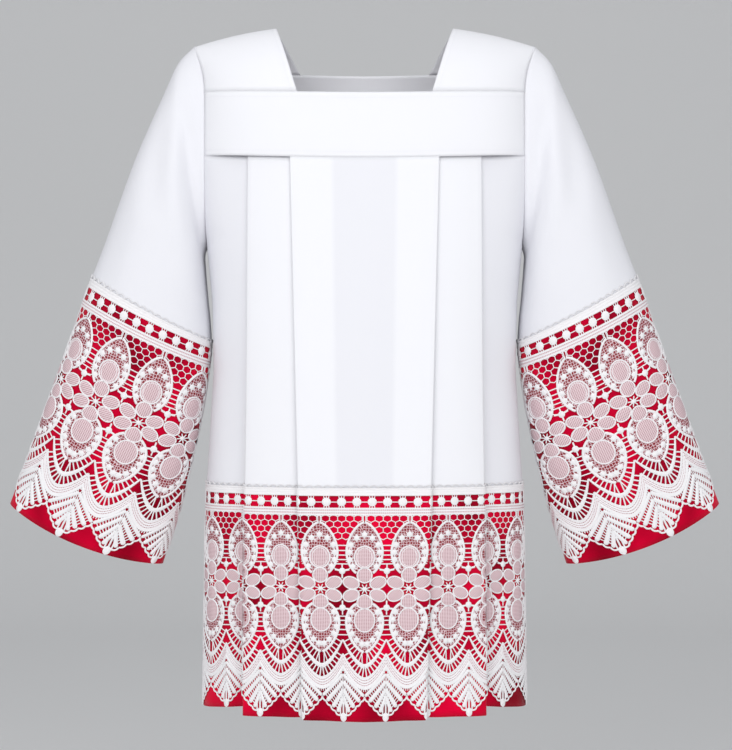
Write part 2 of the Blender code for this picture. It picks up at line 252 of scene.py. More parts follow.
def make_mesh(name, vertices, quads, uv):
    mesh = bpy.data.meshes.new(name)
    mesh.from_pydata(vertices.tolist(), [], quads.tolist())
    mesh.validate()
    layer = mesh.uv_layers.new(name="flat")
    layer.data.foreach_set("uv", uv.astype(np.float32).reshape(-1, 2)[quads.ravel()].ravel())
    mesh.polygons.foreach_set("use_smooth", np.ones(len(quads), dtype=bool))
    return add_object(name, mesh)


def away_from_axis(points):
    return points * (0.3, 1.0, 0.0)


# ---- pleated body

def pleat_opening(z, side):
    """How far the pleats have spread at a height: 0 at the yoke, 1 at the hem."""
    top = YOKE_HEM_Z[side]
    return clamp((z - top) / (HEM_Z - top))


def pleat_columns(side):
    """Functions of height that give each column of a half skirt, centre to side."""
    lifts = [0.0] + [row[4] for row in PLEAT_FOLDS] + [PLEAT_FOLDS[-1][4]]
    columns = []

    def fold(row, z):
        x_yoke, x_hem, layers_yoke, layers_hem, _, reach = PLEAT_FOLDS[row]
        spread = pleat_opening(z, side)
        outer, inner = (mix(a, b, spread) for a, b in zip(layers_yoke, layers_hem))
        return mix(x_yoke, x_hem, spread), outer, inner, reach

    def fold_turn(row, angle):
        """(x, set back) round a fold, from its outer layer at 0 to its inner one at pi."""
        def at(z):
            x, outer, inner, reach = fold(row, z)
            radius = (inner - outer) / 2
            turned = x + reach * radius * (math.sin(angle) - 1.0)
            return turned, outer + radius * (1.0 - math.cos(angle))
        return at

    def add_panel(start, end, row):
        count = round(PANEL_WIDTHS[row] / PANEL_STEP)
        for i in range(count):
            columns.append((start, end, i / count, mix(lifts[row], lifts[row + 1], i / count)))

    def covered(z):
        return fold(2, z)[0], fold(3, z)[2]

    def centre_line(z):
        return 0.0 * z, 0.0 * z

    start = centre_line
    for row in range(len(PLEAT_FOLDS)):
        add_panel(start, fold_turn(row, 0.0), row)
        for step in range(FOLD_STEPS):
            at = fold_turn(row, math.pi * step / FOLD_STEPS)
            columns.append((at, at, 0.0, lifts[row + 1]))
        start = fold_turn(row, math.pi)
    add_panel(start, covered, len(PLEAT_FOLDS))
    return columns, covered


def half_skirt(z, side):
    """Grid (rows, columns, 3) of the pleated cloth from the centre to the side seam."""
    columns, covered = pleat_columns(side)
    points, lifts = [], []
    for start, end, share, lift in columns:
        x, back = (mix(first, last, share) for first, last in zip(start(z), end(z)))
        points.append(body_points(x, z, side, back))
        lifts.append(lift)
    width = body_size(z, side)[0]
    x, back = covered(z)
    first = np.arcsin((x / width) ** (BODY_EXPONENT / 2))
    edge = clamp((armhole_x(z) + SEAM_TUCK) / width) ** (BODY_EXPONENT / 2)
    last = np.where(z > UNDERARM_Z, np.arcsin(edge), math.pi / 2)
    for share in np.arange(SIDE_STEPS + 1) / SIDE_STEPS:
        x = width * np.sin(mix(first, last, share)) ** (2 / BODY_EXPONENT)
        ease = (1.0 + math.cos(math.pi * share)) / 2
        points.append(body_points(x, z, side, back * ease))
        lifts.append(PLEAT_FOLDS[-1][4] * (1.0 - share))
    grid = np.stack(points, axis=1)
    low = clamp((z - SATIN_TOP_Z) / (HEM_Z - SATIN_TOP_Z))[:, None]
    grid[:, :, 2] += low * np.array(lifts)
    return grid


def whole_skirt(z, side):
    """Both halves, from the right side seam to the left one."""
    half = half_skirt(z, side)
    mirrored = half[:, :0:-1] * (-1.0, 1.0, 1.0)
    return hang_yoke(crease(np.concatenate((mirrored, half), axis=1), SKIRT_CREASES))


def run_lengths(points):
    """Distance along each row of a grid."""
    steps = np.linalg.norm(np.diff(points, axis=1), axis=2)
    return np.concatenate((np.zeros((len(points), 1)), np.cumsum(steps, axis=1)), axis=1)


def fall_lengths(points):
    """Distance down each column of a grid."""
    return run_lengths(points.transpose(1, 0, 2)).T


def flat_uv(points):
    across = run_lengths(points)
    middle = across[:, across.shape[1] // 2][:, None]
    return np.stack((across - middle, -fall_lengths(points)), axis=-1)


# ---- sleeve surface

def armhole_ring(angles):
    z = ARMHOLE_MID_Z + ARMHOLE_HALF_HEIGHT * np.cos(angles)
    x = armhole_x(z)
    side = np.where(np.sin(angles) > 0.0, FRONT, BACK)
    depth = armhole_half_depth(z) * shoulder_roll(x, z)
    return np.stack((x, side * depth, z), axis=-1)


def sleeve_ring(section, angles):
    upper_x, upper_z, lower_x, lower_z, half_depth, bow = section
    upper = np.array((upper_x, 0.0, upper_z))
    lower = np.array((lower_x, 0.0, lower_z))
    centre = (upper + lower) / 2
    across = (upper - lower) / 2
    down = unit(np.array((across[2], 0.0, -across[0])))
    turns = np.array((np.cos(angles), np.sin(angles)))
    along, out = np.sign(turns) * np.abs(turns) ** (2.0 / SLEEVE_EXPONENT)
    ring = centre + across * along[:, None] + down * (bow * (1.0 - along ** 2))[:, None]
    ring[:, 1] = FRONT * half_depth * out
    return ring


def smooth_rows(rings, at):
    """Catmull-Rom interpolation through rings at fractional row numbers."""
    last = len(rings) - 1
    result = []
    for value in at:
        i = min(int(value), last - 1)
        t = value - i
        p1, p2 = rings[i], rings[i + 1]
        p0 = rings[i - 1] if i > 0 else 2 * p1 - p2
        p3 = rings[i + 2] if i + 2 <= last else 2 * p2 - p1
        a, b = 2 * p1, p2 - p0
        c, d = 2 * p0 - 5 * p1 + 4 * p2 - p3, 3 * p1 - p0 - 3 * p2 + p3
        result.append((a + b * t + c * t * t + d * t ** 3) / 2)
    return np.array(result)


def even_angles(count):
    """Angles that space the points evenly round a ring near the cuff."""
    fine = np.linspace(0.0, 2 * math.pi, 1441)
    length = path_lengths(sleeve_ring(SLEEVE_SECTIONS[-2], fine))
    return np.interp(np.arange(count) / count * length[-1], length, fine)


def sleeve_grid(row_numbers, angles):
    rings = [armhole_ring(angles)] + [sleeve_ring(s, angles) for s in SLEEVE_SECTIONS]
    return crease(smooth_rows(rings, row_numbers), SLEEVE_CREASES)


# ---- flat lace, in millimetres: x across, v down, and height out of the cloth
# A chart is a list of parts, each with its points, its quads and one kind of face

def joined(chart):
    """The points, quads and kinds of a whole chart as three arrays."""
    starts = np.cumsum([0] + [len(points) for points, _, _ in chart])
    points = np.concatenate([part[0] for part in chart])
    quads = np.concatenate([part[1] + start for part, start in zip(chart, starts)])
    return points, quads, np.concatenate([np.full(len(part[1]), part[2]) for part in chart])


def mirrored(chart):
    """The same parts on the other side of x = 0."""
    return [(points * (-1.0, 1.0, 1.0), quads[:, ::-1], kind) for points, quads, kind in chart]


# Section of a cord: shares of its width across and of its height up
CORD_SECTION = ((-0.5, 0.0), (-0.24, 1.0), (0.24, 1.0), (0.5, 0.0))


def cord(chart, path, width, height, base=0.25, closed=False, kind=THREAD):
    """A raised thread along a path, with an arched section."""
    path = np.asarray(path, dtype=float)
    count = len(path)
    if closed:
        tangent = np.roll(path, -1, axis=0) - np.roll(path, 1, axis=0)
    else:
        tangent = np.gradient(path, axis=0)
    normal = unit(np.stack((-tangent[:, 1], tangent[:, 0]), axis=1))
    widths = np.broadcast_to(np.asarray(width, dtype=float), (count,))
    points = []
    for across, up in CORD_SECTION:
        side = path + normal * (across * widths)[:, None]
        points.append(np.column_stack((side, np.full(count, base + up * height))))
    index = np.arange(4 * count).reshape(4, count)
    following = np.roll(index, -1, axis=1)
    if not closed:
        index, following = index[:, :-1], following[:, :-1]
    quads = np.stack((index[:-1], following[:-1], following[1:], index[1:]), axis=-1)
    chart.append((np.concatenate(points), quads.reshape(-1, 4), kind))


# Height of a pad's middle over that of its rim
DOME_RISE = 1.15


def pad(chart, outline, height, base, inset, kind=THREAD):
    """A filled shape with a low dome that starts at the inset share of its outline."""
    centre = outline.mean(axis=0)
    count = len(outline)
    inner = centre + (outline - centre) * inset
    points = np.concatenate((
        np.column_stack((outline, np.full(count, base))),
        np.column_stack((inner, np.full(count, base + height))),
        ((*centre, base + height * DOME_RISE),),
    ))
    first = np.arange(count)
    second = np.roll(first, -1)
    ring = np.stack((first, second, second + count, first + count), axis=-1)
    middle = np.full(count // 2, 2 * count)
    pairs = np.arange(0, count - 1, 2)
    fan = np.stack((pairs + count, pairs + 1 + count, (pairs + 2) % count + count, middle), axis=-1)
    chart.append((points, np.concatenate((ring, fan)), kind))


def ellipse(cx, cv, rx, rv, count, tilt=0.0):
    angle = np.radians(np.linspace(0.0, 360.0, count, endpoint=False))
    x = rx * np.cos(angle)
    v = rv * np.sin(angle)
    turn = math.radians(tilt)
    return np.column_stack((
        cx + x * math.cos(turn) - v * math.sin(turn),
        cv + x * math.sin(turn) + v * math.cos(turn),
    ))


def strip(chart, edges, heights, kinds):
    """Lanes between neighbouring paths, each at its own height: a woven band."""
    count = len(edges[0])
    points = [np.column_stack((edge, np.full(count, up))) for edge, up in zip(edges, heights)]
    first = np.arange(count - 1)
    quads = np.stack((first, first + 1, first + 1 + count, first + count), axis=-1)
    for lane, kind in enumerate(kinds):
        chart.append((np.concatenate(points[lane:lane + 2]), quads, kind))


# Upper and lower pointed ovals: centre height, half width, reach up, reach down, and the
# powers that shape each end
UPPER_OVAL = (91.0, 26.0, 41.0, 36.0, (1.6, 0.6), (2.0, 0.5))
LOWER_OVAL = (189.0, 27.2, 29.5, 43.0, (2.0, 0.5), (1.8, 0.66))
# Heights of the short bars between neighbouring ovals
LADDER_BARS = (83.4, 90.5, 96.8, 103.0, 109.0, 181.0, 186.7, 192.8, 199.3, 206.5)


def oval_half_width(v, oval):
    centre, width, up, down, top_powers, bottom_powers = oval
    reach = np.where(v < centre, up, down)
    share = clamp(np.abs(v - centre) / reach)
    top = (1.0 - share ** top_powers[0]) ** top_powers[1]
    bottom = (1.0 - share ** bottom_powers[0]) ** bottom_powers[1]
    return width * np.where(v < centre, top, bottom)


def oval_side(oval, start, end, count, inset=0.0):
    """Right-hand edge of an oval between two heights, evenly along its curve."""
    v = np.linspace(start, end, 400)
    x = oval_half_width(v, oval)
    length = path_lengths(np.column_stack((x, v)))
    at = np.interp(np.linspace(0.0, length[-1], count), length, v)
    path = np.column_stack((oval_half_width(at, oval), at))
    if inset:
        tangent = np.gradient(path, axis=0)
        path = path + unit(np.stack((-tangent[:, 1], tangent[:, 0]), axis=1)) * inset
        path[:, 0] = np.maximum(path[:, 0], 0.0)
    return path


# How far down the row of beads lies
BEAD_V = 23.4
# Lanes of a woven band: down from its top and height; and the gaps between its ribs, which
# take the band's own filling
BAND_LANES = (
    (0.0, 0.1), (0.7, 1.1), (2.3, 1.1), (2.8, 0.5), (4.4, 0.5), (4.7, 0.9),
    (6.4, 0.9), (6.7, 0.5), (8.3, 0.5), (8.7, 1.1), (10.4, 1.1), (11.0, 0.1),
)
BAND_GAPS = (3, 7)


def lace_heading(middle):
    """Picot edge, the two woven bands and the row of beads between them."""
    t = shares(8)
    for k in range(-2, 3):
        loop = np.column_stack(((k + t - 0.5) * PITCH / 5, 4.4 - 3.9 * np.sin(math.pi * t) ** 0.8))
        cord(middle, loop, 1.2, 1.2, kind=PICOT)
    across = np.linspace(-HALF, HALF, 21)
    downs, heights = zip(*BAND_LANES)
    for top, fill in ((4.2, THREAD), (31.4, NET)):
        edges = [np.column_stack((across, np.full(len(across), top + v))) for v in downs]
        kinds = [fill if lane in BAND_GAPS else THREAD for lane in range(len(downs) - 1)]
        strip(middle, edges, heights, kinds)
    for x in (-PITCH / 6, PITCH / 6, HALF):
        pad(middle, ellipse(x, BEAD_V, 6.1, 6.0, 16), 1.0, 0.3, 0.75)
        for offset in (-3.6, 0.0, 3.6):
            cord(middle, ((x + offset, 15.0), (x + offset * 0.8, 19.0)), 1.3, 0.7)
            cord(middle, ((x + offset * 0.8, 28.0), (x + offset, 32.0)), 1.3, 0.7)
    cord(middle, np.column_stack((np.linspace(-HALF, HALF, 7), np.full(7, 23.6))), 1.3, 0.6)


def lace_honeycomb(half, middle):
    """Net ground between the bands and the upper ovals."""
    cell, tall, short = 11.0, 5.3, 2.7
    hexagon = ((0, -tall), (cell / 2, -short), (cell / 2, short),
               (0, tall), (-cell / 2, short), (-cell / 2, -short))
    edges = set()
    for row in range(-1, 6):
        for k in range(-3, 4):
            cx = HALF + (k + 0.5 * (row % 2)) * cell
            cv = 46.3 + row * (tall + short)
            corners = [(round(cx + dx, 3), round(cv + dv, 3)) for dx, dv in hexagon]
            for a, b in zip(corners, corners[1:] + corners[:1]):
                edges.add((min(a, b), max(a, b)))

    def outside(point):
        gap = abs(point[0]) - (float(oval_half_width(point[1], UPPER_OVAL)) - 1.0)
        return gap if point[1] > 50.0 else 1.0

    for a, b in sorted(edges):
        a, b = np.array(a), np.array(b)
        in_half = 2.0 <= max(a[0], b[0]) <= HALF + 0.01
        if not in_half or min(a[1], b[1]) < 41.0 or max(a[1], b[1]) > 80.0:
            continue
        if outside(a) < 0 and outside(b) < 0:
            continue
        if outside(a) * outside(b) < 0:
            good, bad = (a, b) if outside(a) > 0 else (b, a)
            for _ in range(12):
                centre = (good + bad) / 2
                good, bad = (centre, bad) if outside(centre) > 0 else (good, centre)
            a, b = (a, good) if outside(a) > 0 else (good, b)
        target = middle if min(a[0], b[0]) > HALF - 0.01 else half
        cord(target, (a, (a + b) / 2, b), 1.15, 0.6)
    cord(half, ((1.7, 41.5), (1.7, 52.0)), 1.3, 0.7)


def lace_ladder(middle):
    """Short bars between neighbouring ovals."""
    for v in LADDER_BARS:
        oval = UPPER_OVAL if v < 142.0 else LOWER_OVAL
        reach = HALF - float(oval_half_width(v, oval)) + 1.0
        cord(middle, ((HALF - reach, v), (HALF, v), (HALF + reach, v)), 1.6, 0.6)


def lace_dot(half, middle, v, toward):
    """A bead on the line between repeats, tied to the ovals around it."""
    pad(middle, ellipse(HALF, v, 4.6, 4.6, 12), 1.2, 0.4, 0.8)
    cord(middle, ((HALF, v - 3.0 * toward), (HALF, v - 9.5 * toward)), 1.8, 0.6)
    cord(middle, ((HALF, v + 3.0 * toward), (HALF, v + 10.0 * toward)), 2.2, 0.6)
    cord(half, ((HALF - 3.0, v - 0.8 * toward), (HALF - 10.0, v - 2.2 * toward)), 2.6, 0.6)


# Lines that carry the fine net of an oval, from its edge to the centre line
GROUND_EDGES = 6


def lace_ground(half, oval, top, bottom):
    """Fine net that fills an oval behind its stars."""
    side = oval_side(oval, top, bottom, 14)
    edges = [side * (share, 1.0) for share in shares(GROUND_EDGES)[::-1]]
    strip(half, edges, [0.15] * GROUND_EDGES, [OPEN] * (GROUND_EDGES - 1))


# Stars inside the upper and the lower oval: across, down
STARS = (
    (0.0, 68.5), (10.6, 73.2), (18.6, 82.6), (20.6, 92.9), (20.2, 103.2), (16.2, 112.6),
    (18.3, 175.4), (21.8, 185.4), (21.6, 195.4), (17.9, 205.0), (11.3, 213.4), (3.8, 219.0),
)


def lace_stars(half, middle):
    """Stars with radiating threads that fill the space inside the ovals."""
    for x, v in STARS:
        target = middle if x == 0.0 else half
        pad(target, ellipse(x, v, 4.0, 4.0, 10), 1.1, 0.35, 0.7)
        for k in range(6):
            angle = math.pi * (k + 0.5) / 3
            ray = [(x + r * math.cos(angle), v + r * math.sin(angle)) for r in (3.2, 6.0)]
            cord(target, ray, 1.3, 0.5)


def petal(chart, outline, kind=NET):
    """A pad of net with a corded rim."""
    pad(chart, outline, 0.7, 0.3, 0.86, kind)
    cord(chart, outline, 2.0, 1.1, 0.35, closed=True)


# How far down the flower's middle lies, and the reach of its threads, across and down, at
# their near and far ends
FLOWER_V = 143.5
FLOWER_RAY = ((3.0, 2.4), (8.4, 6.8))
# Corded ovals on the centre line: down, reach across, reach down, points
PETALS = ((99.6, 14.0, 15.2, 24), (186.4, 14.2, 16.0, 24), (124.6, 10.2, 10.2, 20))
# The lower petal of the flower, which widens downward
LOWER_PETAL = (160.8, 10.4, 9.6, 20)
PETAL_SPREAD = 0.02


def lace_motif(half, middle):
    """The two ovals with a flower between them."""
    lace_ground(half, UPPER_OVAL, 50.5, 122.5)
    lace_ground(half, LOWER_OVAL, 162.5, 230.5)
    cord(half, oval_side(UPPER_OVAL, 50.1, 122.5, 24, 1.4), 3.2, 1.3)
    cord(half, oval_side(LOWER_OVAL, 162.5, 231.5, 24, 1.4), 3.6, 1.3)
    lace_stars(half, middle)
    for shape in PETALS:
        petal(middle, ellipse(0.0, *shape))
    cord(middle, ellipse(0.0, 99.8, 10.4, 13.0, 20), 1.0, 0.5, 0.75, closed=True)
    lower = ellipse(0.0, *LOWER_PETAL)
    lower[:, 0] *= 1.0 + PETAL_SPREAD * (lower[:, 1] - LOWER_PETAL[0])
    petal(middle, lower)
    for v, tilt in ((134.8, -18.0), (152.2, 18.0)):
        petal(half, ellipse(18.6, v, 11.4, 8.0, 20, tilt), HATCH)
    pad(middle, ellipse(0.0, FLOWER_V, 3.6, 3.0, 12), 1.2, 0.5, 0.7)
    for k in range(8):
        angle = 2 * math.pi * (k + 0.5) / 8
        ray = [(a * math.cos(angle), FLOWER_V + b * math.sin(angle)) for a, b in FLOWER_RAY]
        cord(middle, ray, 1.5, 0.8, 0.4)


# Scalloped lines: height at the middle of a repeat, rise to its sides, power
FIRST_SCALLOP = (249.5, 36.5, 1.7)
SECOND_SCALLOP = (265.5, 33.0, 1.8)
BAND_EDGE = (281.0, 29.4, 1.9)
# How far the fans' bars stand out below the band
FAN_GAP = 3.4


def scallop(x, line):
    """Path along one scalloped line."""
    height, rise, power = line
    return np.column_stack((x, height - rise * (np.abs(x) / HALF) ** power))


def along(path, share):
    """Point at a share of a path's length."""
    length = path_lengths(path)
    at = share * length[-1]
    return np.array([np.interp(at, length, line) for line in path.T])


def bars(chart, first, second, count):
    """Evenly spaced bars from one path to another."""
    for k in range(count):
        share = (k + 0.5) / count
        cord(chart, (along(first, share), along(second, share)), 1.3, 0.5)


def square_bars(chart, path, other, count, width):
    """Evenly spaced bars from one path to the nearest points of another."""
    other = np.array([along(other, share) for share in shares(60)])
    for k in range(count):
        point = along(path, (k + 0.5) / count)
        nearest = other[np.argmin(np.linalg.norm(other - point, axis=1))]
        cord(chart, (nearest, point), width, 0.6)


# Lanes of the ridged band, thread and net by turns: share of the way down it, height
RIDGE_LANES = (
    (0.0, 0.9), (0.16, 0.9), (0.24, 0.4), (0.4, 1.0),
    (0.48, 0.4), (0.62, 1.0), (0.7, 0.5), (1.0, 1.1),
)


def lace_scallops(half):
    """Two rows of bars between scalloped cords, then a ridged band."""
    x = np.linspace(HALF, 0.0, 20)
    first, second = scallop(x, FIRST_SCALLOP), scallop(x, SECOND_SCALLOP)
    cord(half, first, mix(6.4, 2.2, (x / HALF) ** 1.2), 1.2)
    cord(half, second, 2.2, 1.0)
    rail = oval_side(LOWER_OVAL, 196.0, 230.8, 60)
    square_bars(half, first, rail, 7, 1.6)
    square_bars(half, second, first, 7, 1.8)
    x = np.linspace(0.0, HALF, 16)
    top, bottom = scallop(x, SECOND_SCALLOP) + (0.0, 0.6), scallop(x, BAND_EDGE)
    lanes, heights = zip(*RIDGE_LANES)
    edges = [mix(top, bottom, share) for share in lanes]
    strip(half, edges, heights, 3 * (THREAD, NET) + (THREAD,))
    cord(half, bottom, 1.8, 0.9, 0.3)


# Ribs of a fan: height at its middle line, reach across, height at the end, widths there
FAN_RIBS = (
    (260.5, 28.2, 289.0, 4.4, 4.8),
    (270.5, 22.0, 296.0, 4.8, 6.0),
    (281.0, 14.0, 304.0, 4.6, 6.0),
    (290.5, 7.4, 310.4, 4.2, 5.4),
)
RIB_POWER = 0.94
# Where the edge of a fan touches between its scallops: reach across, height
FAN_EDGE = ((HALF, 290.6), (25.0, 298.4), (18.6, 304.4), (11.6, 311.6), (5.0, 317.0))


def rib_path(rib, count):
    top, reach, end, _, _ = rib
    t = shares(count)
    return np.column_stack((HALF - reach * t, mix(top, end, t ** RIB_POWER)))


def lace_fan(half, middle):
    """The pointed fan that ends the lace, with ribs, fine bars and a scalloped edge."""
    x = np.linspace(HALF, 0.0, 20)
    band = scallop(x, BAND_EDGE)
    bars(half, band, band + (0.0, FAN_GAP), 14)
    for rib in FAN_RIBS:
        path = rib_path(rib, 8)
        cord(half, path, np.linspace(rib[3], rib[4], 8), 1.3, 0.3)
        pad(half, ellipse(*path[-1], rib[4] / 2, rib[4] / 2, 10), 1.1, 0.3, 0.7)
    for upper, lower, count in zip(FAN_RIBS, FAN_RIBS[1:], (10, 8, 6)):
        bars(half, rib_path(upper, 12), rib_path(lower, 12), count)
    t = shares(7)
    for (near, v0), (far, v1) in zip(FAN_EDGE, FAN_EDGE[1:]):
        out = 1.9 * np.sin(math.pi * t) / math.hypot(far - near, v1 - v0)
        across = mix(near, far, t) + out * abs(v1 - v0)
        line = np.column_stack((HALF - across, mix(v0, v1, t) + out * abs(far - near)))
        cord(half, line, 2.4, 0.9)
    cord(half, ((HALF - 4.2, 306.0), (HALF - 4.4, 318.0)), 2.0, 1.0)
    cord(middle, ((HALF, 298.0), (HALF, 322.0)), 2.4, 1.1)
    pad(middle, ellipse(HALF, 319.6, 4.6, 6.3, 16), 1.1, 0.3, 0.7)


def lace_repeat():
    """One whole repeat as arrays of points, quads and kinds."""
    half, middle = [], []
    lace_heading(middle)
    lace_honeycomb(half, middle)
    lace_ladder(middle)
    lace_dot(half, middle, 118.7, 1.0)
    lace_dot(half, middle, 169.3, -1.0)
    lace_motif(half, middle)
    lace_scallops(half)
    lace_fan(half, middle)
    return joined(half + mirrored(half) + middle)


# ---- lace on the cloth

class Surface:
    """A closed cloth tube that places lace: u in repeats round it, v down it in metres."""

    def __init__(self, points, u, v):
        self.u, self.v = u, v
        self.points = points
        ahead = np.gradient(points, axis=1)
        ahead[:, 0] = (points[:, 1] - points[:, -2]) / 2
        ahead[:, -1] = ahead[:, 0]
        self.normal = unit(np.cross(np.gradient(points, axis=0), ahead))

    def place(self, u, v, w):
        column = np.interp(u, self.u, np.arange(len(self.u)))
        row = np.interp(v, self.v, np.arange(len(self.v)))
        i = np.minimum(column.astype(int), len(self.u) - 2)
        j = np.minimum(row.astype(int), len(self.v) - 2)
        s, t = (column - i)[:, None], (row - j)[:, None]

        def blend(values):
            upper = mix(values[j, i], values[j, i + 1], s)
            lower = mix(values[j + 1, i], values[j + 1, i + 1], s)
            return mix(upper, lower, t)

        return blend(self.points) + unit(blend(self.normal)) * w[:, None]


def add_lace(name, satin, grid, surface, centres, total, held, lace, lean=0.0):
    """Repeats of lace on a surface over the satin, in place of the CAD wall of that name."""
    materials, (points, quads, kinds) = lace
    placed, faces, flat = [], [], []
    for k, centre in enumerate(centres):
        u = (centre + points[:, 0] / PITCH + lean * (1.0 - points[:, 1] / DROP)) % total
        v = points[:, 1] / DROP * surface.v[-1]
        placed.append(surface.place(u, v, points[:, 2] / 1000.0 + LACE_STAND_OFF))
        faces.append(quads + k * len(points))
        flat.append(np.column_stack((centre * PITCH + points[:, 0], -points[:, 1])) / 1000.0)
    placed, faces, flat = (np.concatenate(parts) for parts in (placed, faces, flat))
    obj = make_mesh(name + "_guipure", placed, faces, flat)
    kinds = np.tile(kinds, len(centres)).astype(np.int32)
    obj.data.polygons.foreach_set("material_index", kinds)
    finish_piece(obj, materials, name, grid)


# ---- materials

def set_inputs(tree, node, inputs):
    """Link a node's inputs to other outputs, or give them values; colours have no alpha."""
    for key, value in inputs.items():
        socket = node.inputs[key]
        if isinstance(value, bpy.types.NodeSocket):
            tree.links.new(value, socket)
        elif socket.type == "RGBA":
            socket.default_value = (*value, 1.0)
        else:
            socket.default_value = value


def add_node(tree, kind, inputs, **values):
    node = tree.nodes.new("ShaderNode" + kind)
    for key, value in values.items():
        setattr(node, key, value)
    set_inputs(tree, node, inputs)
    return node.outputs


def principled(name, color, roughness, sheen=0.0, **more):
    """A cloth material, with its node tree and its flat coordinates."""
    material = bpy.data.materials.new(name)
    material.use_nodes = True
    tree = material.node_tree
    inputs = {"Base Color": color, "Roughness": roughness, "Sheen Weight": sheen, **more}
    set_inputs(tree, tree.nodes["Principled BSDF"], inputs)
    flat = add_node(tree, "UVMap", {}, uv_map="flat")["UV"]
    return material, tree, flat


def thread_wave(tree, coordinates, scale, direction):
    inputs = {"Vector": coordinates, "Scale": scale, "Distortion": 0.6, "Detail": 1.0}
    kinds = {"wave_type": "BANDS", "bands_direction": direction}
    return add_node(tree, "TexWave", inputs, **kinds)["Fac"]


def mixed_color(tree, factor, first, second):
    inputs = {"Factor": factor, "A": first, "B": second}
    return add_node(tree, "Mix", inputs, data_type="RGBA")["Result"]


def map_range(tree, value, low, high):
    inputs = {"Value": value, "From Min": low, "From Max": high}
    return add_node(tree, "MapRange", inputs)["Result"]


def combine(tree, operation, first, second):
    return add_node(tree, "Math", {0: first, 1: second}, operation=operation)[0]


def woven(material, color, height, strength, distance):
    """The material with its colour and the small relief of its threads."""
    tree = material.node_tree
    inputs = {"Height": height, "Strength": strength, "Distance": distance}
    normal = add_node(tree, "Bump", inputs)["Normal"]
    looks = {"Base Color": color, "Normal": normal}
    set_inputs(tree, tree.nodes["Principled BSDF"], looks)
    return material


def cloth_material():
    """White plain weave with painted shade: greyer where a single thickness lets the shaded inside
    show through, whiter where the cloth lies several deep.
    """
    material, tree, flat = principled("white_cloth_weave", (0.8, 0.8, 0.84), 0.75, 0.08)
    warp = thread_wave(tree, flat, 620.0, "X")
    weft = thread_wave(tree, flat, 620.0, "Y")
    weave = combine(tree, "MULTIPLY", warp, weft)
    layer_shade = add_node(tree, "Attribute", {}, attribute_name="layer_shade")["Fac"]
    # Painted shade: from greyer for one thickness to whiter for three
    between_threads = mixed_color(tree, layer_shade, (0.765, 0.765, 0.805), (0.815, 0.815, 0.85))
    on_threads = mixed_color(tree, layer_shade, (0.79, 0.79, 0.83), (0.845, 0.845, 0.875))
    color = mixed_color(tree, weave, between_threads, on_threads)
    return woven(material, color, weave, 0.25, 0.0002)


def satin_material():
    """Red satin with painted light and shade: lighter and darker in soft patches of noise, with a
    shine of its own colour.
    """
    shine = {"Specular IOR Level": 0.4, "Specular Tint": (1.0, 0.05, 0.16), "Anisotropic": 0.4}
    material, tree, flat = principled("red_satin_weave", (0.5, 0.001, 0.02), 0.42, **shine)
    float_threads = thread_wave(tree, flat, 900.0, "Y")
    inputs = {"Vector": flat, "Scale": 9.0, "Detail": 2.0}
    sheen_and_shade_noise = add_node(tree, "TexNoise", inputs)["Fac"]
    turned = map_range(tree, sheen_and_shade_noise, 0.34, 0.66)
    # Painted highlight and shade: noise patches move the colour from dark red to bright red
    color = mixed_color(tree, turned, (0.21, 0.0003, 0.008), (0.76, 0.0008, 0.034))
    return woven(material, color, float_threads, 0.15, 0.0001)


# The lace thread's plain colour, and its dark and light
THREAD_COLORS = ((0.9, 0.89, 0.9), (0.84, 0.82, 0.84), (0.93, 0.92, 0.93))


def thread_material(name, shade):
    """Twisted thread of the lace, its colours scaled by a shade."""
    base, dark, light = (tuple(shade * part for part in color) for color in THREAD_COLORS)
    material, tree, flat = principled(name, base, 0.72, 0.1)
    twist = thread_wave(tree, flat, 700.0, "DIAGONAL")
    return woven(material, mixed_color(tree, twist, dark, light), twist, 0.5, 0.0003)


def net_material(name, turn):
    """Woven net over satin: white threads crossing, pink where the satin shows between them."""
    material, tree, flat = principled(name, (0.8, 0.66, 0.68), 0.75, 0.1)
    inputs = {"Vector": flat, "Rotation": (0.0, 0.0, turn)}
    turned = add_node(tree, "Mapping", inputs)["Vector"]
    warp = thread_wave(tree, turned, 125.0, "X")
    weft = thread_wave(tree, turned, 165.0, "Y")
    weave = combine(tree, "MAXIMUM", warp, weft)
    color = mixed_color(tree, weave, (0.26, 0.015, 0.04), (0.8, 0.66, 0.69))
    return woven(material, color, weave, 0.6, 0.0004)


def open_net_material():
    """Fine net with holes that show the satin."""
    material, tree, flat = principled("lace_open_net", (0.8, 0.6, 0.62), 0.75, 0.1)
    inputs = {"Vector": flat, "Scale": 270.0, "Randomness": 0.45}
    cells = add_node(tree, "TexVoronoi", inputs, feature="DISTANCE_TO_EDGE")
    hole = map_range(tree, cells["Distance"], 0.06, 0.14)
    color = mixed_color(tree, hole, (0.74, 0.56, 0.6), (0.22, 0.001, 0.008))
    return woven(material, color, hole, 0.4, 0.0002)


# ---- creases and stitches

# A crease fades over this part of its length, and from the side of the body to its face
CREASE_FADE = 0.4
CREASE_FACE = 0.03
# Soft creases of a sleeve, in millimetres: side, depth (below zero a ridge), width, and
# three points (x, z)
SLEEVE_CREASES = (
    (FRONT, 7, 14, (260.9, -98), (249.6, -230.3), (236.8, -318.4)),
    (FRONT, 4.2, 19, (280.9, -110.9), (297.9, -204.7), (305, -292.8)),
    (FRONT, -3, 16, (270, -130), (273, -230), (265, -330)),
    (FRONT, 2.6, 20, (335, -230), (356, -310), (388, -430)),
    (FRONT, 2.2, 17, (275, -440), (295, -550), (330, -670)),
    (BACK, 4.6, 17, (264, -120), (253, -220), (245, -340)),
    (BACK, 5, 21, (290, -140), (302, -250), (326, -360)),
    (BACK, -2.8, 18, (318, -150), (340, -250), (370, -380)),
    (BACK, 2.4, 18, (300, -430), (325, -540), (370, -660)),
)
